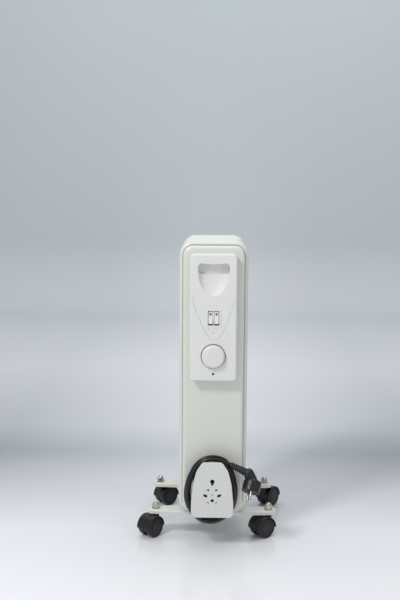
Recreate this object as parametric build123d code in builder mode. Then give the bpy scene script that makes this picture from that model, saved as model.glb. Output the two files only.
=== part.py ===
from build123d import *
import math
import os

os.makedirs("parts", exist_ok=True)

# ---------------------------------------------------------------- dimensions
# frame: X to the heater's right as seen from the front, Y away from the
# front, Z up.  Origin on the floor under the middle of the whole heater.
Y_FIN1 = -80.26         # middle plane of the front fin
PITCH = 35.2            # fin pitch
N_FINS = 7
FIN_W, FIN_Z0, FIN_Z1 = 145.0, 57.8, 647.6
FIN_D, FIN_R, RIM_R, SHEET = 24.0, 29.0, 7.0, 1.2
HEAD_LO_Z, HEAD_LO_R = 103.0, 16.0      # lower header
HEAD_HI_Z, HEAD_HI_R = 602.6, 13.0      # upper header
HEAD_WALL = 1.5
CHANNELS = (-42.0, -14.0, 14.0, 42.0)

COVER_W, COVER_Z0, COVER_Z1, COVER_R = 129.0, 65.9, 639.6, 20.0
COVER_BACK, COVER_FRONT = Y_FIN1 - 9.0, Y_FIN1 - 32.0

PANEL_W, PANEL_Z0, PANEL_Z1 = 96.5, 359.5, 624.0
PANEL_BACK, PANEL_FRONT = COVER_FRONT, Y_FIN1 - 54.0
KNOB_Z, KNOB_GAP_R, KNOB_R, KNOB_FACE_R = 412.0, 26.1, 24.0, 20.5
KNOB_FRONT = PANEL_FRONT - 9.5
SW_Z = 492.2            # middle of the switch bezel
ROCKER_Z = 493.0

FLANGE_FRONT, FLANGE_T = Y_FIN1 - 77.0, 3.2
CORD_D = 7.0

STEM_X = 123.9
BR_TOP, BR_T, BR_DEPTH = 57.5, 1.8, 8.5
BR_HALF, BR_HALF_W = 141.0, 19.5
Y_BR = (Y_FIN1 + PITCH / 2, Y_FIN1 + 5.5 * PITCH)

WHEEL_R, WHEEL_IN, WHEEL_OUT = 21.5, 5.0, 18.5
TRAIL = 17.0
AXLE_R = 2.5
CASTERS = {             # stem place and the way each one trails
    "front_left": (-STEM_X, Y_BR[0], (-0.62, -0.785)),
    "front_right": (STEM_X, Y_BR[0], (-0.81, -0.586)),
    "rear_left": (-STEM_X, Y_BR[1], (0.76, 0.65)),
    "rear_right": (STEM_X, Y_BR[1], (0.62, 0.785)),
}


def xz(y):
    """Upright plane at y: local x is X, local y is Z, normal is -Y."""
    return Plane(origin=(0, y, 0), x_dir=(1, 0, 0), z_dir=(0, -1, 0))


def save(builder, name):
    builder.part.label = name
    export_step(builder.part, f"parts/{name}.step")


def unit(v):
    n = math.sqrt(sum(c * c for c in v))
    return tuple(c / n for c in v)


# ---------------------------------------------------------------- oil and fins
# The fins are pairs of pressed sheets welded round a set of upright channels,
# two galleries and two header bosses; the oil fills the whole inside.
FIN_ZC, FIN_H = (FIN_Z0 + FIN_Z1) / 2, FIN_Z1 - FIN_Z0
Y_LAST = Y_FIN1 + (N_FINS - 1) * PITCH
HEAD_FRONT = Y_FIN1 - 8.0
HEAD_REAR = Y_LAST + 8.0


def fin_y(i):
    return Y_FIN1 + i * PITCH


def passages(y, grow):
    """Upright channels and galleries of one fin, grown by the sheet's gauge."""
    with BuildPart() as b:
        with BuildSketch(Plane.XY.offset(HEAD_LO_Z)):
            with Locations(*[(x, y) for x in CHANNELS]):
                RectangleRounded(12 + 2 * grow, 6 + 2 * grow, 2.9 + grow * 0.95)
        extrude(amount=HEAD_HI_Z - HEAD_LO_Z)
        with BuildSketch(Plane.YZ.offset(-49 - grow)):
            with Locations((y, HEAD_LO_Z), (y, HEAD_HI_Z)):
                RectangleRounded(6 + 2 * grow, 15 + 2 * grow, 2.9 + grow * 0.95)
        extrude(amount=98 + 2 * grow)
    return b.part


ELEMENT_LEG_X, ELEMENT_R = 6.0, 4.0
with BuildPart() as element:
    # U-shaped tubular element: two legs and a bend, lying in the lower header
    with BuildLine() as u_line:
        l1 = Line((-ELEMENT_LEG_X, HEAD_FRONT - 4, HEAD_LO_Z), (-ELEMENT_LEG_X, HEAD_REAR - 22, HEAD_LO_Z))
        l2 = ThreePointArc((-ELEMENT_LEG_X, HEAD_REAR - 22, HEAD_LO_Z), (0, HEAD_REAR - 22 + ELEMENT_LEG_X, HEAD_LO_Z), (ELEMENT_LEG_X, HEAD_REAR - 22, HEAD_LO_Z))
        l3 = Line((ELEMENT_LEG_X, HEAD_REAR - 22, HEAD_LO_Z), (ELEMENT_LEG_X, HEAD_FRONT - 4, HEAD_LO_Z))
    with BuildSketch(Plane(origin=(-ELEMENT_LEG_X, HEAD_FRONT - 4, HEAD_LO_Z), z_dir=(0, 1, 0))):
        Circle(ELEMENT_R)
    sweep()
    with BuildSketch(xz(HEAD_FRONT - 1)):       # brazed flange outside the header
        with Locations((0, HEAD_LO_Z)):
            Circle(18)
    extrude(amount=3)
    with BuildSketch(xz(HEAD_FRONT - 4)):       # terminal pins
        with Locations((-ELEMENT_LEG_X, HEAD_LO_Z), (ELEMENT_LEG_X, HEAD_LO_Z)):
            Circle(1.6)
    extrude(amount=9)
save(element, "heating_element")

with BuildPart() as gasket:
    with BuildSketch(xz(HEAD_FRONT)):
        with Locations((0, HEAD_LO_Z)):
            Circle(16)
        with Locations((-ELEMENT_LEG_X, HEAD_LO_Z), (ELEMENT_LEG_X, HEAD_LO_Z)):
            Circle(ELEMENT_R, mode=Mode.SUBTRACT)
    extrude(amount=1)
save(gasket, "element_gasket")

with BuildPart() as oil:
    with BuildSketch(xz(HEAD_REAR - HEAD_WALL)):
        with Locations((0, HEAD_LO_Z)):
            Circle(HEAD_LO_R - HEAD_WALL)
        with Locations((0, HEAD_HI_Z)):
            Circle(HEAD_HI_R - HEAD_WALL)
    extrude(amount=HEAD_REAR - HEAD_FRONT - 2 * HEAD_WALL)
    for i in range(N_FINS):
        add(passages(fin_y(i), 0.0))
    add(element.part, mode=Mode.SUBTRACT)
save(oil, "oil_fill")

for i in range(N_FINS):
    y = fin_y(i)
    y_front = HEAD_FRONT if i == 0 else y - PITCH / 2
    y_rear = HEAD_REAR if i == N_FINS - 1 else y + PITCH / 2
    with BuildPart() as fin:
        # broad rim with rolled edges, open towards the front and the back
        with BuildSketch(xz(y + FIN_D / 2)):
            with Locations((0, FIN_ZC)):
                RectangleRounded(FIN_W, FIN_H, FIN_R)
        extrude(amount=FIN_D)
        fillet(fin.faces().filter_by(Axis.Y).edges(), RIM_R)
        with BuildPart(mode=Mode.PRIVATE) as core:
            with BuildSketch(xz(y + FIN_D / 2 - SHEET)):
                with Locations((0, FIN_ZC)):
                    RectangleRounded(FIN_W - 2 * SHEET, FIN_H - 2 * SHEET, FIN_R - SHEET)
            extrude(amount=FIN_D - 2 * SHEET)
            fillet(core.faces().filter_by(Axis.Y).edges(), RIM_R - SHEET)
        add(core.part, mode=Mode.SUBTRACT)
        with BuildSketch(xz(y + FIN_D)):
            with Locations((0, FIN_ZC)):
                RectangleRounded(FIN_W - 13.6, FIN_H - 13.6, FIN_R - 6.8)
        extrude(amount=2 * FIN_D, mode=Mode.SUBTRACT)
        # welded web in the middle, swelling into channels and galleries
        with BuildSketch(xz(y + 1.0)):
            with Locations((0, FIN_ZC)):
                RectangleRounded(FIN_W - 1.6, FIN_H - 1.6, FIN_R - 0.8)
        extrude(amount=2.0)
        add(passages(y, 1.0))
        with BuildSketch(xz(y_rear)):
            with Locations((0, HEAD_LO_Z)):
                Circle(HEAD_LO_R)
            with Locations((0, HEAD_HI_Z)):
                Circle(HEAD_HI_R)
        extrude(amount=y_rear - y_front)
        add(oil.part, mode=Mode.SUBTRACT)
        add(element.part, mode=Mode.SUBTRACT)
    save(fin, f"fin_{i + 1}")

with BuildPart() as filler:
    # plug that closes the oil filler on the last fin
    with BuildSketch(xz(HEAD_REAR + 2.0)):
        with Locations((0, HEAD_HI_Z)):
            Circle(8.5)
    extrude(amount=2.0)
    with BuildSketch(xz(HEAD_REAR + 7.0)):
        with Locations((0, HEAD_HI_Z)):
            RegularPolygon(6.9, 6)
    extrude(amount=5.0)
    fillet(filler.faces().sort_by(Axis.Y)[-1].edges(), 0.8)
save(filler, "oil_filler_plug")

# ---------------------------------------------------------------- front cover
COVER_ZC, COVER_H = (COVER_Z0 + COVER_Z1) / 2, COVER_Z1 - COVER_Z0
STANDOFFS = [(x, z) for x in (-52.4, 52.4) for z in (240.0, 330.0)]
WINDER_SCREWS = [(-17.0, 112.0), (17.0, 112.0), (0.0, 168.0)]

with BuildPart() as cover:
    with BuildSketch(xz(COVER_BACK)):
        with Locations((0, COVER_ZC)):
            RectangleRounded(COVER_W, COVER_H, COVER_R)
    extrude(amount=COVER_BACK - COVER_FRONT)
    fillet(cover.faces().sort_by(Axis.Y)[0].edges(), 8.0)
    with BuildPart(mode=Mode.PRIVATE) as pan:
        with BuildSketch(xz(COVER_BACK)):
            with Locations((0, COVER_ZC)):
                RectangleRounded(COVER_W - 2, COVER_H - 2, COVER_R - 1)
        extrude(amount=COVER_BACK - COVER_FRONT - 1.0)
        fillet(pan.faces().sort_by(Axis.Y)[0].edges(), 7.0)
    add(pan.part, mode=Mode.SUBTRACT)
    with BuildSketch(xz(COVER_BACK)):           # window behind the controls
        with Locations((0, 450)):
            RectangleRounded(76, 150, 6)
        with Locations(*WINDER_SCREWS):
            Circle(2.0)
        with Locations((0, 140)):               # lead passes into the winder
            Circle(5.0)
        with Locations((-36, 372), (36, 372)):
            Circle(1.8)
    extrude(amount=30, mode=Mode.SUBTRACT)
save(cover, "front_cover")

with BuildPart() as standoffs:
    with BuildSketch(xz(Y_FIN1 - 1.0)):
        with Locations(*STANDOFFS):
            Circle(3.0)
    extrude(amount=30.0)
save(standoffs, "cover_standoffs")

# ---------------------------------------------------------------- controls
PANEL_ZC, PANEL_H = (PANEL_Z0 + PANEL_Z1) / 2, PANEL_Z1 - PANEL_Z0
PANEL_WALL = 2.4
SHIELD = [(-44.5, 546), (-43.6, 536.5), (-40.2, 526), (-33.4, 498.5), (-21.5, 471), (-13.8, 455.5), (-7, 449.3),
          (0, 447.4), (7.2, 449.2), (14.6, 455.5), (22.3, 471), (34.2, 498.5), (40.6, 526), (43.9, 536.5), (44.8, 546)]

with BuildPart() as scoop:      # hand scoop: part of an ellipsoid
    Sphere(10)
    scale(by=(3.25, 1.5, 5.3))
    split(bisect_by=Plane.XY.offset(8.0), keep=Keep.BOTTOM)

with BuildPart() as housing:
    with BuildSketch(xz(PANEL_BACK)):
        with Locations((0, PANEL_ZC)):
            RectangleRounded(PANEL_W, PANEL_H, 9)
    extrude(amount=PANEL_BACK - PANEL_FRONT)
    fillet(housing.faces().sort_by(Axis.Y)[0].edges(), 3.2)
    with BuildSketch(xz(PANEL_BACK)):           # inside, below the hand grip
        with Locations((0, (PANEL_Z0 + 532) / 2)):
            RectangleRounded(PANEL_W - 2 * PANEL_WALL, 532 - PANEL_Z0 - 2 * PANEL_WALL, 6)
    extrude(amount=PANEL_BACK - PANEL_FRONT - PANEL_WALL, mode=Mode.SUBTRACT)
    with BuildSketch(xz(PANEL_BACK)):           # inside, behind the hand grip
        with Locations((0, (533 + PANEL_Z1) / 2)):
            RectangleRounded(PANEL_W - 2 * PANEL_WALL, PANEL_Z1 - 533 - 2 * PANEL_WALL, 5)
    extrude(amount=2.0, mode=Mode.SUBTRACT)
    add(scoop.part.moved(Location((0, PANEL_FRONT, 591))), mode=Mode.SUBTRACT)
    with BuildSketch(xz(PANEL_FRONT + 16.5)):   # deep finger pocket of the grip
        with BuildLine():
            Polyline((-32.5, 583), (-32.5, 600), (-27, 605.6), (-14, 604.2), (0, 603.6), (14, 604.2), (27, 605.6), (32.5, 600), (32.5, 583), (-32.5, 583))
        make_face()
        fillet(vertices().group_by(Axis.Y)[0], 5.5)
    extrude(amount=20, mode=Mode.SUBTRACT)
    # cup of the knob
    with BuildSketch(xz(PANEL_FRONT + PANEL_WALL + 6.0)):
        with Locations((0, KNOB_Z)):
            Circle(KNOB_GAP_R + 2)
    extrude(amount=7.0)
    with BuildSketch(xz(PANEL_FRONT + 6.4)):
        with Locations((0, KNOB_Z)):
            Circle(KNOB_GAP_R)
    extrude(amount=12, mode=Mode.SUBTRACT)
    with BuildSketch(xz(PANEL_BACK)):
        with Locations((0, KNOB_Z)):
            Circle(5.0)
        with Locations((0, 374.8)):
            Circle(2.5)
        with Locations((0, SW_Z)):
            Rectangle(29, 38)
    extrude(amount=30, mode=Mode.SUBTRACT)
    # raised line in the shape of a shield
    with BuildSketch(xz(PANEL_FRONT + 0.2)):
        with BuildLine():
            Spline(*SHIELD)
        trace(line_width=1.1)
    extrude(amount=0.75)
    # screw bosses towards the cover
    with BuildSketch(xz(PANEL_BACK)):
        with Locations((-36, 372), (36, 372)):
            Circle(4.0)
            Circle(1.8, mode=Mode.SUBTRACT)
    extrude(amount=20.4)
save(housing, "control_housing")

with BuildPart() as pscrews:
    with BuildSketch(xz(COVER_FRONT + 1.0 + 2.2)):
        with Locations((-36, 372), (36, 372)):
            Circle(3.4)
    extrude(amount=2.2)
    with BuildSketch(xz(COVER_FRONT + 1.0)):
        with Locations((-36, 372), (36, 372)):
            Circle(1.8)
    extrude(amount=10)
save(pscrews, "panel_screws")

# switch: bezel, pin, two rockers and the body behind them
RK_W, RK_H, RK_X = 8.6, 25.6, 6.2
ROCKER_Y = PANEL_FRONT + 3.2
with BuildPart() as bezel:
    with BuildSketch(xz(PANEL_FRONT)):
        with Locations((0, SW_Z)):
            RectangleRounded(32.2, 41.4, 1.6)
            RectangleRounded(23.4, 30.4, 1.0, mode=Mode.SUBTRACT)
    extrude(amount=1.0)
    fillet(bezel.faces().sort_by(Axis.Y)[0].outer_wire().edges(), 0.6)
    with BuildSketch(xz(PANEL_FRONT + 9.0)):
        with Locations((0, SW_Z)):
            Rectangle(28.9, 37.9)
            Rectangle(23.4, 30.4, mode=Mode.SUBTRACT)
            Rectangle(2.6, 30.4)
    extrude(amount=9.0)
    with BuildSketch(Plane.YZ.offset(-13.0)):
        with Locations((ROCKER_Y, ROCKER_Z)):
            Circle(1.0)
    extrude(amount=26.0, mode=Mode.SUBTRACT)
save(bezel, "switch_bezel")

with BuildPart() as rpin:
    with BuildSketch(Plane.YZ.offset(-13.0)):
        with Locations((ROCKER_Y, ROCKER_Z)):
            Circle(1.0)
    extrude(amount=26.0)
save(rpin, "rocker_pin")

for side, name in ((-1, "rocker_left"), (1, "rocker_right")):
    with BuildPart() as rocker:
        # seen from the side: two flats meeting at the pin; the lower one
        # stands proud and the upper one is pressed in
        with BuildSketch(Plane.YZ.offset(side * RK_X - RK_W / 2)):
            with BuildLine():
                Polyline((ROCKER_Y - 1.4, ROCKER_Z + 12.8), (ROCKER_Y - 3.2, ROCKER_Z + 0.4),
                         (ROCKER_Y - 7.4, ROCKER_Z - 12.4), (ROCKER_Y - 4.6, ROCKER_Z - 12.8),
                         (ROCKER_Y + 0.4, ROCKER_Z - 3.6), (ROCKER_Y + 2.6, ROCKER_Z),
                         (ROCKER_Y + 2.2, ROCKER_Z + 3.6), (ROCKER_Y + 1.2, ROCKER_Z + 12.8),
                         (ROCKER_Y - 1.4, ROCKER_Z + 12.8))
            make_face()
        extrude(amount=RK_W)
        fillet(rocker.edges().filter_by(Axis.X).sort_by(Axis.Y)[0:2], 0.7)
        with BuildSketch(Plane.YZ.offset(-13.0)):
            with Locations((ROCKER_Y, ROCKER_Z)):
                Circle(1.05)
        extrude(amount=26.0, mode=Mode.SUBTRACT)
    save(rocker, name)

with BuildPart() as swbody:
    with BuildSketch(xz(PANEL_FRONT + 19.5)):
        with Locations((0, SW_Z)):
            RectangleRounded(27, 36, 1.5)
    extrude(amount=10.5)
    with BuildSketch(xz(PANEL_FRONT + 24.0)):
        with Locations(*[(x, SW_Z + dz) for x in (-6.2, 6.2) for dz in (-11, 0, 11)]):
            Rectangle(0.8, 6.0)
    extrude(amount=5.0)
save(swbody, "switch_body")

# knob, spindle and thermostat
with BuildPart() as knob:
    with BuildSketch(Plane.YZ):
        with BuildLine():
            y0, y1 = PANEL_FRONT + 4.9, KNOB_FRONT
            Polyline((y0, 0), (y0, KNOB_R), (y1 + 3.4, KNOB_R), (y1 + 0.9, KNOB_FACE_R + 1.0), (y1, KNOB_FACE_R - 0.4), (y1 - 0.5, 0), (y0, 0))
        make_face()
    revolve(axis=Axis((0, 0, 0), (0, 1, 0)))
    with BuildSketch(xz(PANEL_FRONT + 10)):
        Circle(3.0)
    extrude(amount=14.0, mode=Mode.SUBTRACT)
knob_part = knob.part.moved(Location((0, 0, KNOB_Z)))
knob_part.label = "thermostat_knob"
export_step(knob_part, "parts/thermostat_knob.step")

with BuildPart() as spindle:
    with BuildSketch(xz(PANEL_FRONT + 17.0)):
        with Locations((0, KNOB_Z)):
            Circle(3.0)
    extrude(amount=21.0)
save(spindle, "thermostat_spindle")

with BuildPart() as tstat:
    with BuildSketch(xz(PANEL_FRONT + 20.5)):
        with Locations((0, KNOB_Z)):
            RectangleRounded(34, 30, 2)
    extrude(amount=11.5)
    with BuildSketch(xz(PANEL_FRONT + 17.1)):
        with Locations((0, KNOB_Z)):
            Circle(3.05)
    extrude(amount=30, mode=Mode.SUBTRACT)
save(tstat, "thermostat_body")

with BuildPart() as lamp:
    with BuildSketch(xz(PANEL_FRONT + 9.0)):
        with Locations((0, 374.8)):
            Circle(2.5)
    extrude(amount=9.6)
    fillet(lamp.faces().sort_by(Axis.Y)[0].edges(), 0.5)
save(lamp, "pilot_lamp")

with BuildPart() as tblock:
    with BuildSketch(xz(PANEL_FRONT + 20.0)):
        with Locations((0, 452)):
            RectangleRounded(44, 12, 1.2)
    extrude(amount=12)
    with BuildSketch(xz(PANEL_FRONT + 8.0)):
        with Locations(*[(x, 452) for x in (-16, -5.5, 5.5, 16)]):
            Circle(3.6)
    extrude(amount=1.4)
save(tblock, "terminal_block")

with BuildPart() as cutout:     # thermal cut-out clipped on the front web
    with BuildSketch(xz(Y_FIN1 - 1.0)):
        with Locations((0, 300)):
            Circle(6.4)
    extrude(amount=7.0)
    with BuildSketch(xz(Y_FIN1 - 1.0)):
        with Locations((0, 300)):
            RectangleRounded(12, 26, 2)
    extrude(amount=1.2)
save(cutout, "thermal_cutout")

# leads from the terminal block to the element and the cut-out
with BuildPart() as wiring:
    for route in (
        [(-5.5, PANEL_FRONT + 24, 446), (-7, COVER_FRONT + 8, 420), (-11, COVER_FRONT + 9.5, 330), (-9, COVER_FRONT + 9, 200), (-ELEMENT_LEG_X, HEAD_FRONT - 15.5, 130), (-ELEMENT_LEG_X, HEAD_FRONT - 14.6, 104)],
        [(5.5, PANEL_FRONT + 24, 446), (7, COVER_FRONT + 8, 420), (11, COVER_FRONT + 9.5, 330), (9, COVER_FRONT + 9, 200), (ELEMENT_LEG_X, HEAD_FRONT - 15.5, 130), (ELEMENT_LEG_X, HEAD_FRONT - 14.6, 104)],
    ):
        with BuildLine() as wl:
            FilletPolyline(*route, radius=6)
        with BuildSketch(Plane(origin=wl.line @ 0, z_dir=wl.line % 0)):
            Circle(1.3)
        sweep(path=wl.line)
save(wiring, "internal_wiring")

# ---------------------------------------------------------------- cord winder
FLANGE_BACK = FLANGE_FRONT + FLANGE_T
FLANGE_PTS = [(-20.5, 191.4), (-33.4, 171.5), (-40.4, 144.0), (-44.3, 104.0), (-44.3, 72.0),
              (44.3, 72.0), (44.3, 104.0), (40.4, 144.0), (33.4, 171.5), (20.5, 191.4)]
FLANGE_RADII = [10.0, 28.0, 70.0, 60.0, 10.0, 10.0, 60.0, 70.0, 28.0, 10.0]
HUB_PTS = [(-10.0, 183.5), (-20.5, 172.0), (-28.0, 150.0), (-32.0, 120.0), (-32.0, 92.0), (-24.0, 84.0),
           (24.0, 84.0), (32.0, 92.0), (32.0, 120.0), (28.0, 150.0), (20.5, 172.0), (10.0, 183.5)]

with BuildPart() as hub:
    with BuildSketch(xz(COVER_FRONT)):
        with BuildLine():
            Polyline(*HUB_PTS, close=True)
        make_face()
        fillet(vertices(), 5.0)
    extrude(amount=COVER_FRONT - FLANGE_BACK)
    with BuildSketch(xz(COVER_FRONT - 3.0)):
        with BuildLine():
            Polyline(*HUB_PTS, close=True)
        make_face()
        fillet(vertices(), 5.0)
        offset(amount=-2.4, mode=Mode.REPLACE)
        with Locations(*WINDER_SCREWS):
            Circle(4.2, mode=Mode.SUBTRACT)
    extrude(amount=60, mode=Mode.SUBTRACT)
    with BuildSketch(xz(COVER_FRONT + 1)):
        with Locations(*WINDER_SCREWS):
            Circle(2.0)
        with Locations((0, 140)):
            Circle(5.0)
    extrude(amount=15, mode=Mode.SUBTRACT)
    # hole for the gland in the left flank
    with BuildSketch(Plane.YZ.offset(-40.0)):
        with Locations((COVER_FRONT - 14.0, 112.0)):
            Circle(4.6)
    extrude(amount=14.0, mode=Mode.SUBTRACT)
save(hub, "winder_hub")

with BuildPart() as flange:
    with BuildSketch(xz(FLANGE_BACK)):
        with BuildLine():
            Polyline(*FLANGE_PTS, close=True)
        make_face()
        for point, radius in zip(FLANGE_PTS, FLANGE_RADII):
            fillet(vertices().sort_by_distance(point)[0], radius)
    extrude(amount=FLANGE_T)
    fillet(flange.faces().sort_by(Axis.Y)[0].edges(), 1.0)
    with BuildSketch(xz(FLANGE_BACK + 1)):      # holes that park the plug
        with Locations((0.2, 150.3)):
            Circle(4.7)
        with BuildLine():
            Polyline((-3.6, 147.6), (3.9, 147.6), (1.4, 141.4), (-1.0, 141.4), close=True)
        make_face()
        with BuildLine():
            Polyline((-12.6, 132.2), (-6.4, 135.2), (-6.4, 129.0), close=True)
        make_face()
        with BuildLine():
            Polyline((12.8, 132.2), (6.6, 135.2), (6.6, 129.0), close=True)
        make_face()
        with Locations(Location((-14.2, 119.6), -28)):
            Ellipse(4.8, 3.2)
        with Locations(Location((14.6, 119.8), 28)):
            Ellipse(4.8, 3.2)
        with Locations((0.2, 109.2)):
            Circle(3.6)
        with Locations((0.2, 121.4)):
            Rectangle(1.3, 5.0)
        with Locations(Location((-8.4, 104.5), 28)):
            Rectangle(1.5, 5.6)
        with Locations(Location((8.4, 104.6), -28)):
            Rectangle(1.5, 5.6)
    extrude(amount=FLANGE_T + 2, mode=Mode.SUBTRACT)
save(flange, "winder_flange")

with BuildPart() as wscrews:
    with BuildSketch(xz(COVER_FRONT + 1.0 + 2.4)):
        with Locations(*WINDER_SCREWS):
            Circle(3.8)
    extrude(amount=2.4)
    with BuildSketch(xz(COVER_FRONT + 1.0)):
        with Locations(*WINDER_SCREWS):
            Circle(2.0)
    extrude(amount=13)
save(wscrews, "winder_screws")

# gland: comes out of the hub's left flank, turns up and lets the cord out
GLAND_Y = COVER_FRONT - 14.0
with BuildPart() as gland:
    with BuildSketch(Plane.YZ.offset(-40.5)):
        with Locations((GLAND_Y, 112.0)):
            Circle(4.2)
    extrude(amount=13.5)
    with BuildSketch(Plane.XY.offset(105.9)):
        with Locations((-38.0, GLAND_Y)):
            Circle(5.4)
    extrude(amount=15.1)
save(gland, "cord_gland")

# ---------------------------------------------------------------- cord
CORD_R = CORD_D / 2
# closed solid of the wound cord's outer shape
COIL_C = (-3.8, 122.8)
COIL_BACK, COIL_FRONT = COVER_FRONT - 1.2, FLANGE_BACK + 1.6
COIL_OUT = [(-3.0, 46.0), (-20.0, 48.5), (-33.0, 55.5), (-45.0, 67.5), (-54.5, 83.0), (-60.3, 99.0), (-62.0, 112.0), (-61.0, 126.0),
            (-56.5, 144.5), (-50.0, 162.5), (-41.2, 178.5), (-30.0, 192.0), (-14.0, 200.0), (2.0, 201.0), (20.0, 200.0),
            (33.5, 192.5), (43.5, 171.0), (49.5, 151.5), (53.4, 136.0), (55.0, 118.0), (54.4, 104.0), (51.5, 90.0), (44.0, 74.0), (30.5, 59.5), (15.0, 50.5)]
COIL_IN = [(-3.0, 62.8), (-16.0, 65.0), (-27.0, 71.5), (-36.0, 82.0), (-41.5, 94.0), (-44.2, 110.0), (-42.8, 126.0),
           (-38.0, 146.0), (-31.5, 164.0), (-24.0, 177.5), (-13.0, 185.2), (2.0, 186.2), (15.0, 184.6), (24.6, 176.0), (31.5, 160.0), (36.2, 144.0),
           (38.6, 128.0), (39.4, 112.0), (37.6, 96.0), (31.0, 82.0), (20.5, 70.5), (9.0, 64.5)]
with BuildPart() as coil:
    with BuildSketch(xz(COIL_BACK)):
        with BuildLine():
            Spline(*COIL_OUT, periodic=True)
        make_face()
        with BuildLine():
            Spline(*COIL_IN, periodic=True)
        make_face(mode=Mode.SUBTRACT)
    extrude(amount=COIL_BACK - COIL_FRONT)


def route_tube(points, label):
    """Straight runs joined by the largest arcs that the runs allow."""
    pts = [Vector(*p) for p in points]
    radii = []
    for a, b, c in zip(pts, pts[1:], pts[2:]):
        run = min((b - a).length, (c - b).length)
        turn = math.radians((b - a).get_angle(c - b))
        radii.append(0.45 * run / math.tan(turn / 2))
    print(label, "runs", [round((b - a).length, 1) for a, b in zip(pts, pts[1:])], "radii", [round(r, 1) for r in radii])
    with BuildPart() as tube:
        with BuildLine() as path:
            line = FilletPolyline(*points, radius=radii)
        with BuildSketch(Plane(origin=path.line @ 0, z_dir=path.line % 0)):
            Circle(CORD_R)
        sweep(path=path.line)
    print(label, "volume", round(tube.part.volume, 1), "section x length", round(math.pi * CORD_R ** 2 * line.length, 1))
    tube.part.label = label
    export_step(tube.part, f"parts/{label}.step")
    return tube.part


# straight up out of the gland, then into the winding
LEAD_IN = [(-38.0, GLAND_Y, 121.0), (-38.6, GLAND_Y - 0.4, 131.0), (-37.2, GLAND_Y - 1.4, 141.0), (-33.4, GLAND_Y - 2.6, 150.2)]
route_tube(LEAD_IN, "cord_lead_in")
BOOT_START, BOOT_END = (37.6, Y_FIN1 - 62.0, 183.4), (71.8, Y_FIN1 - 62.0, 166.2)
TAIL = [(6.0, Y_FIN1 - 64.0, 193.8), (21.0, Y_FIN1 - 63.0, 190.8), BOOT_START]
route_tube(TAIL, "cord_tail")

# ---------------------------------------------------------------- plug
bd = unit(tuple(b - a for a, b in zip(BOOT_START, BOOT_END)))
PLUG_N = unit((-0.25, -0.55, -0.80))            # way the pins point
PLUG_C = (83.0, Y_FIN1 - 68.0, 139.5)
dot = sum(a * b for a, b in zip(bd, PLUG_N))
PLUG_U = unit(tuple(a - dot * b for a, b in zip(bd, PLUG_N)))
PIN_R, PIN_L, PIN_GAP = 2.4, 19.0, 19.0
COLLAR_R = 3.0


def along(p, d, t):
    return tuple(a + t * b for a, b in zip(p, d))


def plug_plane(t):
    return Plane(origin=along(PLUG_C, PLUG_N, t), x_dir=PLUG_U, z_dir=PLUG_N)


with BuildPart() as boot:
    with BuildSketch(Plane(origin=BOOT_START, z_dir=bd)):
        Circle(5.2)
    with BuildSketch(Plane(origin=BOOT_END, z_dir=bd)):
        Circle(8.2)
    loft()
save(boot, "plug_strain_relief")

with BuildPart() as wound:      # the winding leaves room for the boot
    add(coil.part)
    with BuildSketch(Plane(origin=along(BOOT_START, bd, -3.0), z_dir=bd)):
        Circle(8.6)
    extrude(amount=40.0, mode=Mode.SUBTRACT)
save(wound, "cord_coil")

NECK_TO = along(PLUG_C, PLUG_N, -3.0)
nd = unit(tuple(b - a for a, b in zip(BOOT_END, NECK_TO)))
with BuildPart() as plug:
    with BuildSketch(plug_plane(-13)):
        Circle(19)
    extrude(amount=27)
    fillet(plug.faces().sort_by(Axis(PLUG_C, PLUG_N))[0].edges(), 8)
    fillet(plug.faces().sort_by(Axis(PLUG_C, PLUG_N))[-1].edges(), 1.0)
    with BuildSketch(Plane(origin=along(BOOT_END, bd, 5.0), z_dir=nd)):
        Circle(11.5)
    extrude(amount=30)
    with Locations(along(BOOT_END, bd, 5.0)):
        Sphere(11.5)
    with BuildSketch(Plane(origin=BOOT_END, z_dir=tuple(-c for c in bd))):
        Circle(30)
    extrude(amount=30, mode=Mode.SUBTRACT)
    # flats and slots of the earth contacts, and the earth socket
    with BuildSketch(plug_plane(14.5)):
        with Locations((-18.2, 0), (18.2, 0)):
            Rectangle(3.4, 8.2)
    extrude(amount=-16, mode=Mode.SUBTRACT)
    with BuildSketch(plug_plane(14.5)):
        with Locations((10.0, 0)):
            Circle(2.4)
    extrude(amount=-14, mode=Mode.SUBTRACT)
    with BuildSketch(plug_plane(14.5)):
        with Locations((0, -PIN_GAP / 2), (0, PIN_GAP / 2)):
            Circle(COLLAR_R)
    extrude(amount=-8.5, mode=Mode.SUBTRACT)
save(plug, "plug_body")

with BuildPart() as pins:
    # wider root moulded into the body, flush with its face
    with BuildSketch(plug_plane(6.0)):
        with Locations((0, -PIN_GAP / 2), (0, PIN_GAP / 2)):
            Circle(COLLAR_R)
    extrude(amount=8.0)
    with BuildSketch(plug_plane(14.0)):
        with Locations((0, -PIN_GAP / 2), (0, PIN_GAP / 2)):
            Circle(PIN_R)
    extrude(amount=PIN_L)
    fillet(pins.faces().filter_by(Plane(origin=(0, 0, 0), z_dir=PLUG_N)).sort_by(Axis(PLUG_C, PLUG_N))[-2:].edges(), 1.6)
save(pins, "plug_pins")

with BuildPart() as clips:
    with BuildSketch(plug_plane(13.6)):
        with Locations((-18.0, 0), (18.0, 0)):
            Rectangle(1.6, 8.0)
    extrude(amount=-15.0)
save(clips, "plug_earth_clips")

# ---------------------------------------------------------------- feet
def bracket_outline():
    Polyline((-BR_HALF, -13.5), (-70, -BR_HALF_W), (70, -BR_HALF_W), (BR_HALF, -13.5),
             (BR_HALF, 13.5), (70, BR_HALF_W), (-70, BR_HALF_W), (-BR_HALF, 13.5), close=True)


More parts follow.
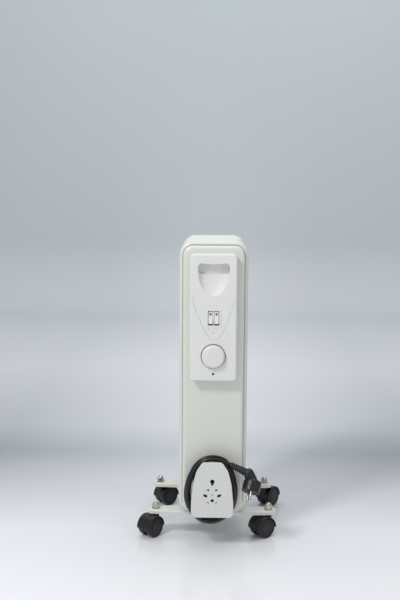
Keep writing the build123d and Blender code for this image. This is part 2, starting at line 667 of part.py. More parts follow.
UB_R = HEAD_LO_R + 0.2 + 2.5
with BuildPart() as brackets:
    for y in Y_BR:
        with BuildSketch(Plane(origin=(0, y, BR_TOP - BR_DEPTH))):
            with BuildLine():
                bracket_outline()
            make_face()
            fillet(vertices().group_by(Axis.X)[0] + vertices().group_by(Axis.X)[-1], 12.0)
        extrude(amount=BR_DEPTH)
    fillet(brackets.faces().filter_by(Axis.Z).group_by(Axis.Z)[-1].edges(), 3.0)
    for y in Y_BR:
        with BuildSketch(Plane(origin=(0, y, BR_TOP - BR_DEPTH))):
            with BuildLine():
                bracket_outline()
            make_face()
            fillet(vertices().group_by(Axis.X)[0] + vertices().group_by(Axis.X)[-1], 12.0)
            offset(amount=-BR_T, mode=Mode.REPLACE)
        extrude(amount=BR_DEPTH - BR_T, mode=Mode.SUBTRACT)
        with BuildSketch(Plane(origin=(0, y, BR_TOP - BR_DEPTH))):
            with Locations((-STEM_X, 0), (STEM_X, 0)):
                Circle(4.0)
            with Locations((-UB_R, 0), (UB_R, 0)):
                Circle(2.5)
        extrude(amount=BR_DEPTH + 1, mode=Mode.SUBTRACT)
save(brackets, "foot_brackets")

with BuildPart() as ubolts:
    for y in Y_BR:
        with BuildLine() as ub:
            Line((-UB_R, y, 42), (-UB_R, y, HEAD_LO_Z))
            ThreePointArc((-UB_R, y, HEAD_LO_Z), (0, y, HEAD_LO_Z + UB_R), (UB_R, y, HEAD_LO_Z))
            Line((UB_R, y, HEAD_LO_Z), (UB_R, y, 42))
        with BuildSketch(Plane(origin=(-UB_R, y, 42), z_dir=(0, 0, 1))):
            Circle(2.5)
        sweep(path=ub.line)
save(ubolts, "u_bolts")

with BuildPart() as wings:
    z1 = BR_TOP - BR_T
    for y in Y_BR:
        for x in (-UB_R, UB_R):
            with BuildSketch(Plane(origin=(x, y, z1 - 6))):
                Circle(5.0)
            extrude(amount=6)
            with BuildSketch(Plane(origin=(x, y + 1.2, 0), x_dir=(1, 0, 0), z_dir=(0, -1, 0))):
                with BuildLine():
                    Polyline((-3, z1 - 0.6), (-7, z1 - 2), (-12, z1 - 9), (-9.5, z1 - 11), (-3, z1 - 6),
                             (3, z1 - 6), (9.5, z1 - 11), (12, z1 - 9), (7, z1 - 2), (3, z1 - 0.6), close=True)
                make_face()
            extrude(amount=2.4)
            with BuildSketch(Plane(origin=(x, y, z1 - 13))):
                Circle(2.5)
            extrude(amount=14, mode=Mode.SUBTRACT)
save(wings, "wing_nuts")

STEMS = [(x, y) for x in (-STEM_X, STEM_X) for y in Y_BR]
STEM_LOW, COLLAR_Z = 38.4, 52.6
with BuildPart() as stems:
    with BuildSketch(Plane.XY.offset(STEM_LOW)):
        with Locations(*STEMS):
            Circle(4.0)
    extrude(amount=66.0 - STEM_LOW)
    with BuildSketch(Plane.XY.offset(COLLAR_Z)):
        with Locations(*STEMS):
            Circle(8.0)
    extrude(amount=BR_TOP - BR_T - COLLAR_Z)
save(stems, "caster_stems")

with BuildPart() as washers:
    with BuildSketch(Plane.XY.offset(BR_TOP)):
        with Locations(*STEMS):
            Circle(8.6)
            Circle(4.0, mode=Mode.SUBTRACT)
    extrude(amount=1.4)
save(washers, "stem_washers")

with BuildPart() as nuts:
    with BuildSketch(Plane.XY.offset(BR_TOP + 1.4)):
        with Locations(*STEMS):
            RegularPolygon(8.2, 6)
    extrude(amount=7.0)
    with Locations(*[(x, y, BR_TOP + 1.4 + 7.0) for x, y in STEMS]):
        Cylinder(6.7, 2.4, align=(Align.CENTER, Align.CENTER, Align.MIN))
        Sphere(6.7)
    with BuildSketch(Plane.XY.offset(BR_TOP - 6)):
        with Locations(*STEMS):
            Circle(9)
    extrude(amount=7.4, mode=Mode.SUBTRACT)
    with BuildSketch(Plane.XY.offset(BR_TOP + 1.4)):
        with Locations(*STEMS):
            Circle(4.0)
    extrude(amount=66.0 - BR_TOP - 1.4, mode=Mode.SUBTRACT)
save(nuts, "acorn_nuts")

# ---------------------------------------------------------------- casters
HOOD_R, HOOD_IN, HOOD_HALF, WEB = 25.0, 22.7, 18.4, 4.4
for name, (sx, sy, t) in CASTERS.items():
    t = unit(t + (0.0,))
    a = (t[1], -t[0], 0.0)
    cx, cy = sx + TRAIL * t[0], sy + TRAIL * t[1]

    def side(w):
        return Plane(origin=(cx + w * a[0], cy + w * a[1], WHEEL_R), x_dir=t, z_dir=a)

    with BuildPart() as hood:
        with BuildSketch(side(-HOOD_HALF)):
            Circle(HOOD_R)
            with Locations((0, -HOOD_R / 2 - 1.0)):
                Rectangle(60, HOOD_R, mode=Mode.SUBTRACT)
        extrude(amount=2 * HOOD_HALF)
        fillet(hood.faces().filter_by(Plane(origin=(0, 0, 0), z_dir=a)).edges().filter_by(GeomType.CIRCLE), 1.1)
        with BuildSketch(side(-WEB)):
            Circle(HOOD_IN - 3.0)
            with Locations((0, -HOOD_R / 2 - 9.0)):
                Rectangle(60, HOOD_R, mode=Mode.SUBTRACT)
        extrude(amount=2 * WEB)
        with BuildSketch(Plane(origin=(sx, sy, 30.0))):
            Circle(7.6)
        extrude(amount=COLLAR_Z - 0.3 - 30.0)
        for w in (WEB, -WEB - 20.0):
            with BuildSketch(side(w)):
                Circle(HOOD_IN)
            extrude(amount=20.0, mode=Mode.SUBTRACT)
        with BuildSketch(Plane(origin=(sx, sy, STEM_LOW - 0.4))):
            Circle(4.06)
        extrude(amount=20.0, mode=Mode.SUBTRACT)
        with BuildSketch(side(-30)):
            Circle(AXLE_R)
        extrude(amount=60.0, mode=Mode.SUBTRACT)
    save(hood, f"caster_hood_{name}")

    with BuildPart() as axle:
        with BuildSketch(side(-15.5)):
            Circle(AXLE_R)
        extrude(amount=31.0)
    save(axle, f"caster_axle_{name}")

    for sgn, tag in ((1, "a"), (-1, "b")):
        with BuildPart() as wheel:
            w0 = WHEEL_IN if sgn > 0 else -WHEEL_OUT
            with BuildSketch(side(w0)):
                Circle(WHEEL_R)
            extrude(amount=WHEEL_OUT - WHEEL_IN)
            rims = wheel.edges().filter_by(GeomType.CIRCLE).sort_by(Axis((cx, cy, WHEEL_R), a))
            outer, inner = (rims[-1], rims[0]) if sgn > 0 else (rims[0], rims[-1])
            fillet(outer, 3.0)
            fillet(inner, 1.0)
            with BuildSketch(side(WHEEL_OUT - 0.9 if sgn > 0 else -WHEEL_OUT)):
                Circle(16.4)
                Circle(14.6, mode=Mode.SUBTRACT)
            extrude(amount=0.9, mode=Mode.SUBTRACT)
            with BuildSketch(side(0)):
                Circle(AXLE_R + 0.06)
            extrude(amount=sgn * 16.0, mode=Mode.SUBTRACT)
        save(wheel, f"caster_wheel_{name}_{tag}")
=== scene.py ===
import bpy, bmesh, math
from mathutils import Vector, Matrix


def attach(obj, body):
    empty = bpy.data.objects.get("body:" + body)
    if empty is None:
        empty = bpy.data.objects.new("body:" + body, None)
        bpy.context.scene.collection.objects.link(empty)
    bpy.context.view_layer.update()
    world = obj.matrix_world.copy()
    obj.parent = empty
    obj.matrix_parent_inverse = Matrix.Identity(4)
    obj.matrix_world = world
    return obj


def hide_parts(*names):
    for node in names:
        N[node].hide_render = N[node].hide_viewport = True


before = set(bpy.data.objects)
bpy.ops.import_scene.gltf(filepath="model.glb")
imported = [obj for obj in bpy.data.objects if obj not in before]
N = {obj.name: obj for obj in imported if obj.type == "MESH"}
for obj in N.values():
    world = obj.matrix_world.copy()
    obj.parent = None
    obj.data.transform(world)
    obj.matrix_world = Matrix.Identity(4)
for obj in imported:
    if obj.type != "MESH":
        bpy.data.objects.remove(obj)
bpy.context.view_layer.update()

scene = bpy.context.scene

# ------------------------------------------------------------------ reference lengths, mm
Y1 = -80.26                       # middle plane of the front fin
COVER_FRONT = Y1 - 32.0
PANEL_FRONT = Y1 - 54.0
FLANGE_BACK = Y1 - 77.0 + 3.2
GLAND_Y = COVER_FRONT - 14.0
MM = 0.001

# ------------------------------------------------------------------ camera
yaw, pit, rol = -0.0158467, 0.1309025, 0.0058180
F = Vector((math.sin(yaw) * math.cos(pit), math.cos(yaw) * math.cos(pit), -math.sin(pit)))
R = Vector((math.cos(yaw), -math.sin(yaw), 0.0))
U = R.cross(F)
r = R * math.cos(rol) + U * math.sin(rol)
u = U * math.cos(rol) - R * math.sin(rol)
cam_data = bpy.data.cameras.new("camera")
cam = bpy.data.objects.new("camera", cam_data)
scene.collection.objects.link(cam)
m = Matrix(((r.x, u.x, -F.x, 0), (r.y, u.y, -F.y, 0), (r.z, u.z, -F.z, 0), (0, 0, 0, 1)))
m.translation = Vector((0.943, Y1 - 1889.33, 771.47)) * MM
cam.matrix_world = m
cam_data.sensor_width = 36.0
cam_data.sensor_fit = "AUTO"
cam_data.lens = 54.0
cam_data.clip_end = 50.0
scene.camera = cam


# ------------------------------------------------------------------ helpers
def lin(c):
    return tuple(((v / 255) / 12.92 if v / 255 <= 0.04045 else ((v / 255 + 0.055) / 1.055) ** 2.4) for v in c)


def link(obj):
    scene.collection.objects.link(obj)
    return obj


def mesh_obj(name, bm, smooth=True):
    me = bpy.data.meshes.new(name)
    bm.normal_update()
    bm.to_mesh(me)
    bm.free()
    for p in me.polygons:
        p.use_smooth = smooth
    return link(bpy.data.objects.new(name, me))


def material(name, c0, c1, rough=(0.4, 0.5), scale=30.0, bump=0.1, bump_scale=600.0, metallic=0.0, specular=0.5,
             coat=0.0, bump_dist=0.0004, streak=None, painted_edge_highlight=None, detail=4.0, dirt=None):
    """Principled material whose colour, roughness and relief come from layered noise; an optional lighter colour on
    convex edges is a painted edge highlight.
    """
    mat = bpy.data.materials.new(name)
    mat.use_nodes = True
    nt = mat.node_tree
    b = nt.nodes["Principled BSDF"]
    b.inputs["Metallic"].default_value = metallic
    b.inputs["Specular IOR Level"].default_value = specular
    if coat:
        b.inputs["Coat Weight"].default_value = coat
        b.inputs["Coat Roughness"].default_value = 0.18
    tc = nt.nodes.new("ShaderNodeTexCoord")
    mp = nt.nodes.new("ShaderNodeMapping")
    if streak:
        mp.inputs["Scale"].default_value = streak
    nt.links.new(tc.outputs["Object"], mp.inputs["Vector"])
    n1 = nt.nodes.new("ShaderNodeTexNoise")
    n1.inputs["Scale"].default_value = scale
    n1.inputs["Detail"].default_value = detail
    nt.links.new(mp.outputs["Vector"], n1.inputs["Vector"])
    mix = nt.nodes.new("ShaderNodeMix")
    mix.data_type = "RGBA"
    mix.inputs[6].default_value = (*lin(c0), 1)
    mix.inputs[7].default_value = (*lin(c1), 1)
    nt.links.new(n1.outputs["Fac"], mix.inputs[0])
    out = mix.outputs[2]
    # a lighter colour on convex edges (Pointiness) is a painted edge highlight
    if painted_edge_highlight:
        geo = nt.nodes.new("ShaderNodeNewGeometry")
        ramp = nt.nodes.new("ShaderNodeMapRange")
        ramp.inputs["From Min"].default_value = 0.505
        ramp.inputs["From Max"].default_value = 0.56
        ramp.inputs["To Max"].default_value = 0.5
        nt.links.new(geo.outputs["Pointiness"], ramp.inputs["Value"])
        m2 = nt.nodes.new("ShaderNodeMix")
        m2.data_type = "RGBA"
        m2.inputs[7].default_value = (*lin(painted_edge_highlight), 1)
        nt.links.new(ramp.outputs["Result"], m2.inputs[0])
        nt.links.new(out, m2.inputs[6])
        out = m2.outputs[2]
    nt.links.new(out, b.inputs["Base Color"])
    n2 = nt.nodes.new("ShaderNodeTexNoise")
    n2.inputs["Scale"].default_value = scale * 3.1
    n2.inputs["Detail"].default_value = 3.0
    nt.links.new(mp.outputs["Vector"], n2.inputs["Vector"])
    mr = nt.nodes.new("ShaderNodeMapRange")
    mr.inputs["From Min"].default_value = 0.3
    mr.inputs["From Max"].default_value = 0.7
    mr.inputs["To Min"].default_value = rough[0]
    mr.inputs["To Max"].default_value = rough[1]
    nt.links.new(n2.outputs["Fac"], mr.inputs["Value"])
    nt.links.new(mr.outputs["Result"], b.inputs["Roughness"])
    if bump:
        n3 = nt.nodes.new("ShaderNodeTexNoise")
        n3.inputs["Scale"].default_value = bump_scale
        n3.inputs["Detail"].default_value = 2.0
        nt.links.new(tc.outputs["Object"], n3.inputs["Vector"])
        bp = nt.nodes.new("ShaderNodeBump")
        bp.inputs["Strength"].default_value = bump
        bp.inputs["Distance"].default_value = bump_dist
        nt.links.new(n3.outputs["Fac"], bp.inputs["Height"])
        nt.links.new(bp.outputs["Normal"], b.inputs["Normal"])
    return mat


M_enamel = material("enamel", (217, 220, 210), (223, 225, 217), (0.30, 0.38), 9.0, 0.10, 420.0, specular=0.5, coat=0.25, bump_dist=0.00025)
M_cover = material("enamel_cover", (215, 218, 209), (221, 223, 215), (0.30, 0.38), 9.0, 0.10, 420.0, specular=0.5, coat=0.25, bump_dist=0.00025)
M_panel = material("housing_plastic", (224, 225, 222), (229, 230, 227), (0.42, 0.52), 14.0, 0.18, 1500.0, bump_dist=0.0002)
M_knob = material("knob_plastic", (221, 222, 217), (227, 228, 224), (0.38, 0.48), 14.0, 0.16, 1500.0, bump_dist=0.0002)
M_winder = material("winder_plastic", (214, 215, 214), (219, 220, 219), (0.45, 0.55), 14.0, 0.18, 1500.0, bump_dist=0.0002)
# the edge colours given to the black plastics and the plug rubber are painted edge highlights
M_black = material("black_plastic", (7, 7, 8), (15, 15, 17), (0.24, 0.36), 40.0, 0.28, 1400.0, bump_dist=0.0003, specular=0.45, painted_edge_highlight=(36, 36, 39))
M_tread = material("black_tread", (8, 8, 9), (17, 17, 19), (0.30, 0.44), 60.0, 0.3, 1100.0, bump_dist=0.0003, painted_edge_highlight=(36, 36, 38))
M_cord = material("cord_sheath", (6, 6, 7), (12, 12, 13), (0.26, 0.36), 50.0, 0.2, 900.0, bump_dist=0.0003)
M_plug = material("plug_rubber", (9, 9, 10), (17, 17, 18), (0.28, 0.40), 60.0, 0.35, 1200.0, bump_dist=0.0004, painted_edge_highlight=(62, 62, 66))
M_zinc = material("zinc_plate", (176, 172, 158), (210, 207, 198), (0.14, 0.26), 90.0, 0.12, 700.0, metallic=1.0, bump_dist=0.0002)
M_steel = material("steel", (168, 168, 166), (190, 190, 188), (0.28, 0.42), 80.0, 0.1, 700.0, metallic=1.0, streak=(1, 6, 1))
M_nickel = material("nickel", (150, 148, 142), (178, 175, 168), (0.20, 0.34), 120.0, 0.06, 900.0, metallic=1.0)
M_oil = material("oil", (190, 160, 80), (205, 176, 100), (0.1, 0.2), 10.0, 0.0)
M_seal = material("seal", (30, 30, 30), (44, 44, 44), (0.7, 0.85), 60.0, 0.2, 900.0)
M_brown = material("phenolic", (66, 56, 48), (84, 72, 62), (0.45, 0.6), 60.0, 0.15, 900.0)
M_lamp = material("lamp_lens", (34, 22, 22), (52, 30, 28), (0.10, 0.18), 60.0, 0.0, specular=0.6)
M_red = material("red_mark", (150, 16, 24), (176, 26, 34), (0.3, 0.42), 300.0, 0.1, 2500.0)
M_grey = material("printed_mark", (150, 152, 150), (166, 168, 166), (0.5, 0.6), 300.0, 0.1, 2500.0)
# the darker grey of the panel crease is painted shade
M_crease_painted_shade = material("crease", (176, 177, 172), (188, 189, 184), (0.45, 0.55), 60.0, 0.1, 1500.0)
M_insert = material("plug_insert", (196, 194, 190), (212, 210, 206), (0.4, 0.5), 80.0, 0.15, 1500.0)


def assign(mat, *names):
    for n in names:
        o = N[n]
        if not o.material_slots:
            o.data.materials.append(mat)
        for s in o.material_slots:
            s.material = mat


for n in N:
    if n.startswith("fin_") or n == "foot_brackets":
        assign(M_enamel, n)
    elif n.startswith("caster_hood"):
        assign(M_black, n)
    elif n.startswith("caster_wheel"):
        assign(M_tread, n)
    elif n.startswith("caster_axle"):
        assign(M_steel, n)
assign(M_cover, "front_cover")
assign(M_panel, "control_housing", "switch_bezel", "rocker_left", "rocker_right")
assign(M_knob, "thermostat_knob")
assign(M_winder, "winder_hub", "winder_flange")
assign(M_zinc, "acorn_nuts", "stem_washers", "wing_nuts", "panel_screws", "winder_screws", "caster_stems")
assign(M_steel, "heating_element", "u_bolts", "cover_standoffs", "rocker_pin", "thermostat_spindle", "oil_filler_plug", "thermal_cutout")
assign(M_oil, "oil_fill")
assign(M_seal, "element_gasket", "cord_gland")
assign(M_brown, "switch_body", "thermostat_body", "terminal_block")
assign(M_cord, "internal_wiring", "cord_coil", "cord_lead_in", "cord_tail")
assign(M_lamp, "pilot_lamp")
assign(M_plug, "plug_body", "plug_strain_relief")
assign(M_nickel, "plug_pins", "plug_earth_clips")

# ------------------------------------------------------------------ cord
COIL_C = (-3.8, 122.8)
COIL_OUT = [(-3.0, 46.0), (-20.0, 48.5), (-33.0, 55.5), (-45.0, 67.5), (-54.5, 83.0), (-60.3, 99.0), (-62.0, 112.0), (-61.0, 126.0),
            (-56.5, 144.5), (-50.0, 162.5), (-41.2, 178.5), (-30.0, 192.0), (-14.0, 200.0), (2.0, 201.0), (20.0, 200.0),
            (33.5, 192.5), (43.5, 171.0), (49.5, 151.5), (53.4, 136.0), (55.0, 118.0), (54.4, 104.0), (51.5, 90.0), (44.0, 74.0), (30.5, 59.5), (15.0, 50.5)]
COIL_IN = [(-3.0, 62.8), (-16.0, 65.0), (-27.0, 71.5), (-36.0, 82.0), (-41.5, 94.0), (-44.2, 110.0), (-42.8, 126.0),
           (-38.0, 146.0), (-31.5, 164.0), (-24.0, 177.5), (-13.0, 185.2), (2.0, 186.2), (15.0, 184.6), (24.6, 176.0), (31.5, 160.0), (36.2, 144.0),
           (38.6, 128.0), (39.4, 112.0), (37.6, 96.0), (31.0, 82.0), (20.5, 70.5), (9.0, 64.5)]


def polar(points):
    out = []
    for x, z in points:
        dx, dz = x - COIL_C[0], z - COIL_C[1]
        out.append((math.atan2(dx, dz) % (2 * math.pi), math.hypot(dx, dz)))   # clockwise from the top
    out.sort()
    return [(out[-1][0] - 2 * math.pi, out[-1][1])] + out + [(out[0][0] + 2 * math.pi, out[0][1])]


P_OUT, P_IN = polar(COIL_OUT), polar(COIL_IN)


def radius_at(table, a):
    a %= 2 * math.pi
    for (a0, r0), (a1, r1) in zip(table, table[1:]):
        if a0 <= a <= a1:
            return r0 + (r1 - r0) * (a - a0) / (a1 - a0)
    return table[0][1]


def smooth(x):
    x = min(1.0, max(0.0, x))
    return x * x * (3 - 2 * x)


LEAD_IN = [(-38.0, GLAND_Y, 121.0), (-38.6, GLAND_Y - 0.4, 131.0), (-37.4, GLAND_Y - 1.4, 141.0)]
BOOT_START, BOOT_END = (37.6, Y1 - 62.0, 183.4), (71.8, Y1 - 62.0, 166.2)
TAIL = [(21.0, Y1 - 63.0, 190.8), BOOT_START]
A0 = math.atan2(-33.4 - COIL_C[0], 150.2 - COIL_C[1]) % (2 * math.pi)
A1 = math.atan2(4.0 - COIL_C[0], 194.0 - COIL_C[1]) % (2 * math.pi)
PER_TURN = 18
total = 3.0 + ((A1 - A0) % (2 * math.pi)) / (2 * math.pi) + 1.0
steps = int(round(total * PER_TURN))
coil_pts = []
for i in range(steps + 1):
    k = total * i / steps
    a = A0 + 2 * math.pi * k
    ri, ro = radius_at(P_IN, a), radius_at(P_OUT, a)
    jump1, jump2 = smooth((k - 1.78) / 0.3), smooth((k - 3.0) / 0.25)
    # each turn lies further out than the last, then the final turn drops back in
    rho = 0.42 * smooth((k - 0.75) / 0.3) + 0.53 * jump1 - 0.50 * jump2 + 0.42 * smooth((k - 3.85) / 0.4) + 0.04 * math.sin(3.7 * k)
    # under the flange only the outermost turn hangs clear; the others run behind it
    low = max(0.0, -math.cos(a)) ** 2
    if rho < 0.8:
        rho *= 1.0 - 0.85 * low
    rho = min(1.0, max(0.0, rho))
    y = -48.8 - 8.3 * min(k, 1.85)
    y = y + ((-50.2 - 1.2 * (k - 2.0)) - y) * jump1
    y = y + (-64.6 - y) * jump2
    rad = ri + 3.7 + rho * (ro - ri - 7.6)
    coil_pts.append((COIL_C[0] + rad * math.sin(a), Y1 + y, COIL_C[1] + rad * math.cos(a)))
route = LEAD_IN + coil_pts + TAIL
cu = bpy.data.curves.new("mains_cord", "CURVE")
cu.dimensions = "3D"
sp = cu.splines.new("NURBS")
sp.points.add(len(route) - 1)
for p, q in zip(sp.points, route):
    p.co = (q[0] * MM, q[1] * MM, q[2] * MM, 1.0)
sp.order_u = 3
sp.use_endpoint_u = True
sp.resolution_u = 8
cu.bevel_depth = 0.0035
cu.bevel_resolution = 6
cu.use_fill_caps = True
cu.materials.append(M_cord)
cord = link(bpy.data.objects.new("mains_cord", cu))
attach(cord, "root")
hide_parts("cord_coil", "cord_lead_in", "cord_tail")

# a bare copy of the spline is turned into a mesh and then removed
bare = cu.copy()
bare.bevel_depth = 0.0
tmp = link(bpy.data.objects.new("tmp_line", bare))
bpy.context.view_layer.update()
line = bpy.data.meshes.new_from_object(tmp)
bpy.data.objects.remove(tmp)
bpy.data.curves.remove(bare)
bpy.data.meshes.remove(line)


# ------------------------------------------------------------------ strain relief: ribbed boot
def lathe(name, origin, axis, profile, segs=40):
    """Solid of revolution: profile is a list of (distance along the axis, radius), mm."""
    ax = Vector(axis).normalized()
    e1 = ax.orthogonal().normalized()
    e2 = ax.cross(e1)
    bm = bmesh.new()
    rings = []
    for t, rr in profile:
        c = Vector(origin) + ax * t
        if rr <= 1e-6:
            rings.append([bm.verts.new(c * MM)])
        else:
            rings.append([bm.verts.new((c + (e1 * math.cos(2 * math.pi * j / segs) + e2 * math.sin(2 * math.pi * j / segs)) * rr) * MM) for j in range(segs)])
    for ra, rb in zip(rings, rings[1:]):
        for j in range(segs):
            k = (j + 1) % segs
            va = [ra[j % len(ra)], ra[k % len(ra)]] if len(ra) > 1 else [ra[0]]
            vb = [rb[k % len(rb)], rb[j % len(rb)]] if len(rb) > 1 else [rb[0]]
            bm.faces.new(va + vb)
    bmesh.ops.recalc_face_normals(bm, faces=bm.faces)
    return mesh_obj(name, bm)


bd = (Vector(BOOT_END) - Vector(BOOT_START)).normalized()
prof = [(0.0, 0.0), (0.0, 4.6), (0.6, 5.6)]
nrib = 8
for i in range(nrib):
    t0 = 1.5 + i * 4.3
    r0 = 6.0 + i * 0.34
    prof += [(t0, r0), (t0 + 2.3, r0 + 0.15), (t0 + 2.7, r0 - 1.15), (t0 + 3.9, r0 - 1.1)]
prof += [(37.0, 8.8), (39.5, 9.2), (42.0, 9.3), (42.0, 0.0)]
boot = lathe("ribbed_strain_relief", BOOT_START, bd, prof)
boot.data.materials.append(M_plug)
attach(boot, "root")
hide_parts("plug_strain_relief")

# ------------------------------------------------------------------ small details
def disc(name, center, rad, depth, body, mat, normal=(0, -1, 0), segs=28, bevel=0.25):
    o = lathe(name, center, normal, [(-depth, 0.0), (-depth, rad), (-bevel * 0.4, rad), (0.0, rad - bevel), (0.0, 0.0)], segs)
    o.data.materials.append(mat)
    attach(o, body)
    return o


# red dots pressed into the upper flats of the rockers
RY, RZ = PANEL_FRONT + 3.2, 493.0
for s, body in ((-1, "left_rocker"), (1, "right_rocker")):
    # upper flat runs from (RY-3.2, RZ+0.4) to (RY-1.4, RZ+12.8)
    d = Vector((0, 1.8, 12.4)).normalized()
    nrm = Vector((0, -d.z, d.y))
    c = Vector((s * 6.2, RY - 3.2, RZ + 0.4)) + d * 6.6 + nrm * 0.14
    disc(f"rocker_dot_{body}", c, 2.45, 0.7, body, M_red, tuple(nrm))

# small raised marks round the switch: ticks and dots, no lettering
marks = [(-8.4, 518.0, 1.2, 2.2), (6.9, 518.0, 1.2, 2.2), (-8.0, 467.5, 2.6, 0.9), (7.0, 467.5, 1.1, 2.0), (-0.6, 461.8, 2.4, 2.0)]
for i, (x, z, w, h) in enumerate(marks):
    bm = bmesh.new()
    bmesh.ops.create_grid(bm, x_segments=3, y_segments=3, size=0.5)
    for v in bm.verts:
        rr = max(abs(v.co.x), abs(v.co.y)) * 2
        v.co = Vector(((x + v.co.x * w) * MM, (PANEL_FRONT - 0.16 + 0.1 * rr) * MM, (z + v.co.y * h) * MM))
    ret = bmesh.ops.extrude_face_region(bm, geom=bm.faces[:])
    for v in [g for g in ret["geom"] if isinstance(g, bmesh.types.BMVert)]:
        v.co.y += 0.4 * MM
    bmesh.ops.recalc_face_normals(bm, faces=bm.faces)
    o = mesh_obj(f"panel_mark_{i + 1}", bm)
    o.data.materials.append(M_grey)
    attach(o, "root")

# thin crease that runs down from the panel's sides and round under the switch; its darker grey is painted shade along
# the embossed line
crease = [(-45.0, 541.0), (-41.3, 521.8), (-37.4, 508.5), (-32.2, 496.5), (-26.8, 484.8), (-20.8, 471.5), (-16.3, 462.6), (-10.3, 452.3),
          (-4.2, 448.2), (1.8, 447.4), (9.0, 449.0), (14.4, 453.2), (19.9, 462.6), (24.6, 474.0), (28.9, 486.3), (33.5, 499.6), (38.0, 512.9), (42.0, 528.0), (44.6, 541.0)]
cc = bpy.data.curves.new("panel_crease", "CURVE")
cc.dimensions = "3D"
cs = cc.splines.new("NURBS")
cs.points.add(len(crease) - 1)
for p, (x, z) in zip(cs.points, crease):
    p.co = (x * MM, (PANEL_FRONT + 0.12) * MM, z * MM, 1.0)
cs.order_u = 3
cs.use_endpoint_u = True
cs.resolution_u = 8
cc.bevel_depth = 0.00042
cc.bevel_resolution = 4
cc.use_fill_caps = True
cobj = link(bpy.data.objects.new("panel_crease_curve", cc))
bpy.context.view_layer.update()
cme = bpy.data.meshes.new_from_object(cobj)
bpy.data.objects.remove(cobj)
ridge = link(bpy.data.objects.new("panel_crease", cme))
cme.materials.clear()
cme.materials.append(M_crease_painted_shade)
for p in cme.polygons:
    p.use_smooth = True
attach(ridge, "root")

# ------------------------------------------------------------------ stage and light
def stage_material():
    """Paper sweep with painted light and shade: brighter near floor as painted light, a painted shadow band where it
    turns up, darker towards the sides as painted shade, pale wall that darkens and cools towards the top as painted
    shade.
    """
    mat = material("studio_paper_painted_light", (226, 228, 232), (230, 232, 236), (0.22, 0.28), 1.2, 0.0, specular=0.5)
    nt = mat.node_tree
    b = nt.nodes["Principled BSDF"]
    tc = nt.nodes.new("ShaderNodeTexCoord")
    sep = nt.nodes.new("ShaderNodeSeparateXYZ")
    nt.links.new(tc.outputs["Object"], sep.inputs[0])
    add = nt.nodes.new("ShaderNodeMath")
    add.operation = "ADD"
    nt.links.new(sep.outputs["Y"], add.inputs[0])
    nt.links.new(sep.outputs["Z"], add.inputs[1])
    mr = nt.nodes.new("ShaderNodeMapRange")
    mr.inputs["From Min"].default_value = -0.8
    mr.inputs["From Max"].default_value = 5.6
    nt.links.new(add.outputs[0], mr.inputs["Value"])
    rg = nt.nodes.new("ShaderNodeMapRange")
    rg.inputs["From Min"].default_value = 0.15
    rg.inputs["From Max"].default_value = 0.42
    rg.inputs["To Min"].default_value = 0.20
    rg.inputs["To Max"].default_value = 0.95
    nt.links.new(add.outputs[0], rg.inputs["Value"])
    nt.links.new(rg.outputs["Result"], b.inputs["Roughness"])
    ab = nt.nodes.new("ShaderNodeMath")
    ab.operation = "ABSOLUTE"
    nt.links.new(sep.outputs["X"], ab.inputs[0])
    side_shade_mask = nt.nodes.new("ShaderNodeMapRange")
    side_shade_mask.inputs["From Min"].default_value = 0.12
    side_shade_mask.inputs["From Max"].default_value = 0.62
    nt.links.new(ab.outputs[0], side_shade_mask.inputs["Value"])

    def ramp(stops):
        rp = nt.nodes.new("ShaderNodeValToRGB")
        rp.color_ramp.interpolation = "LINEAR"
        el = rp.color_ramp.elements
        for k, (sv, c) in enumerate(stops):
            e = el[k] if k < 2 else el.new(0.5)
            e.position = (sv + 0.8) / 6.4
            e.color = (*lin(c), 1)
        nt.links.new(mr.outputs["Result"], rp.inputs[0])
        return rp

    centre_light_shade = ramp(MID_LIGHT_SHADE_STOPS)
    side_light_shade = ramp(SIDE_LIGHT_SHADE_STOPS)
    # mixing towards the darker side stops by |X| paints shade at the sides of the sweep
    mx = nt.nodes.new("ShaderNodeMix")
    mx.data_type = "RGBA"
    nt.links.new(side_shade_mask.outputs["Result"], mx.inputs[0])
    nt.links.new(centre_light_shade.outputs[0], mx.inputs[6])
    nt.links.new(side_light_shade.outputs[0], mx.inputs[7])
    ns = nt.nodes.new("ShaderNodeTexNoise")
    ns.inputs["Scale"].default_value = 1.6
    nt.links.new(tc.outputs["Object"], ns.inputs["Vector"])
    m2 = nt.nodes.new("ShaderNodeMix")
    m2.data_type = "RGBA"
    m2.blend_type = "MULTIPLY"
    m2.inputs[0].default_value = 0.03
    nt.links.new(mx.outputs[2], m2.inputs[6])
    nt.links.new(ns.outputs["Color"], m2.inputs[7])
    nt.links.new(m2.outputs[2], b.inputs["Base Color"])
    return mat
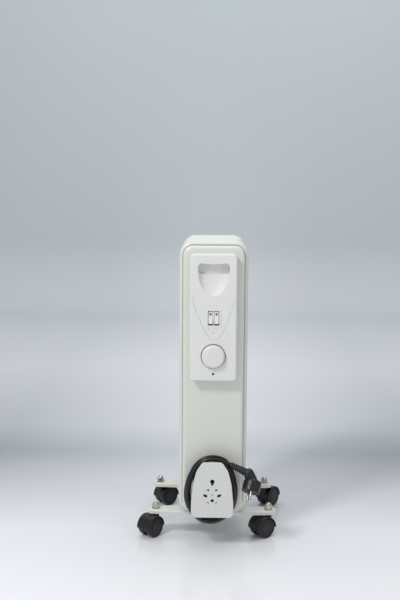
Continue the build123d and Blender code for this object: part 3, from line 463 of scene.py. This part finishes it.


# colour stops of painted light and shade: distance along the sweep (m), colour
MID_LIGHT_SHADE_STOPS = [(-0.8, (243, 244, 247)), (-0.38, (240, 241, 245)), (-0.04, (232, 233, 238)), (0.30, (208, 210, 217)), (0.54, (190, 195, 201)), (0.80, (210, 213, 218)), (1.7, (220, 222, 226)), (3.6, (224, 226, 229)), (4.3, (220, 224, 226)), (4.9, (208, 214, 217)), (5.5, (188, 196, 199))]
SIDE_LIGHT_SHADE_STOPS = [(-0.8, (243, 244, 248)), (-0.38, (242, 243, 248)), (-0.04, (230, 231, 237)), (0.30, (182, 185, 192)), (0.54, (154, 158, 165)), (0.80, (180, 184, 190)), (1.7, (204, 207, 212)), (3.6, (212, 215, 220)), (4.3, (212, 216, 220)), (4.9, (204, 210, 214)), (5.5, (190, 197, 202))]

bm = bmesh.new()
prof = [(-7.0, 0.0), (3.2, 0.0)]
rad = 0.4
for i in range(1, 13):
    a = math.radians(90 * i / 12)
    prof.append((3.2 + rad * math.sin(a), rad - rad * math.cos(a)))
prof.append((3.2 + rad, 7.0))
rows = [[bm.verts.new((x, y, z)) for y, z in prof] for x in (-7.0, 7.0)]
for j in range(len(prof) - 1):
    bm.faces.new((rows[0][j], rows[0][j + 1], rows[1][j + 1], rows[1][j]))
bmesh.ops.recalc_face_normals(bm, faces=bm.faces)
stage = mesh_obj("studio_sweep", bm)
stage.data.materials.append(stage_material())


def area(name, loc, target, size, power, color=(1, 1, 1)):
    ld = bpy.data.lights.new(name, "AREA")
    ld.shape = "RECTANGLE"
    ld.size, ld.size_y = size
    ld.energy = power
    ld.color = color
    o = link(bpy.data.objects.new(name, ld))
    o.location = loc
    o.rotation_euler = (Vector(target) - Vector(loc)).to_track_quat("-Z", "Y").to_euler()
    return o


area("key", (-1.25, -1.5, 2.2), (0, 0, 0.3), (0.40, 0.55), 29)
area("fill", (2.0, -2.2, 1.1), (0, 0, 0.3), (1.3, 1.5), 5)
area("top", (0.15, -0.1, 2.7), (0, 0, 0), (2.0, 1.4), 9)
area("backdrop", (0.2, 1.7, 3.3), (0.0, 3.3, 0.4), (4.5, 1.6), 52)
world = bpy.data.worlds.new("studio")
scene.world = world
world.use_nodes = True
bg = world.node_tree.nodes["Background"]
bg.inputs[0].default_value = (*lin((236, 237, 238)), 1)
bg.inputs[1].default_value = 0.61
scene.view_settings.view_transform = "Standard"
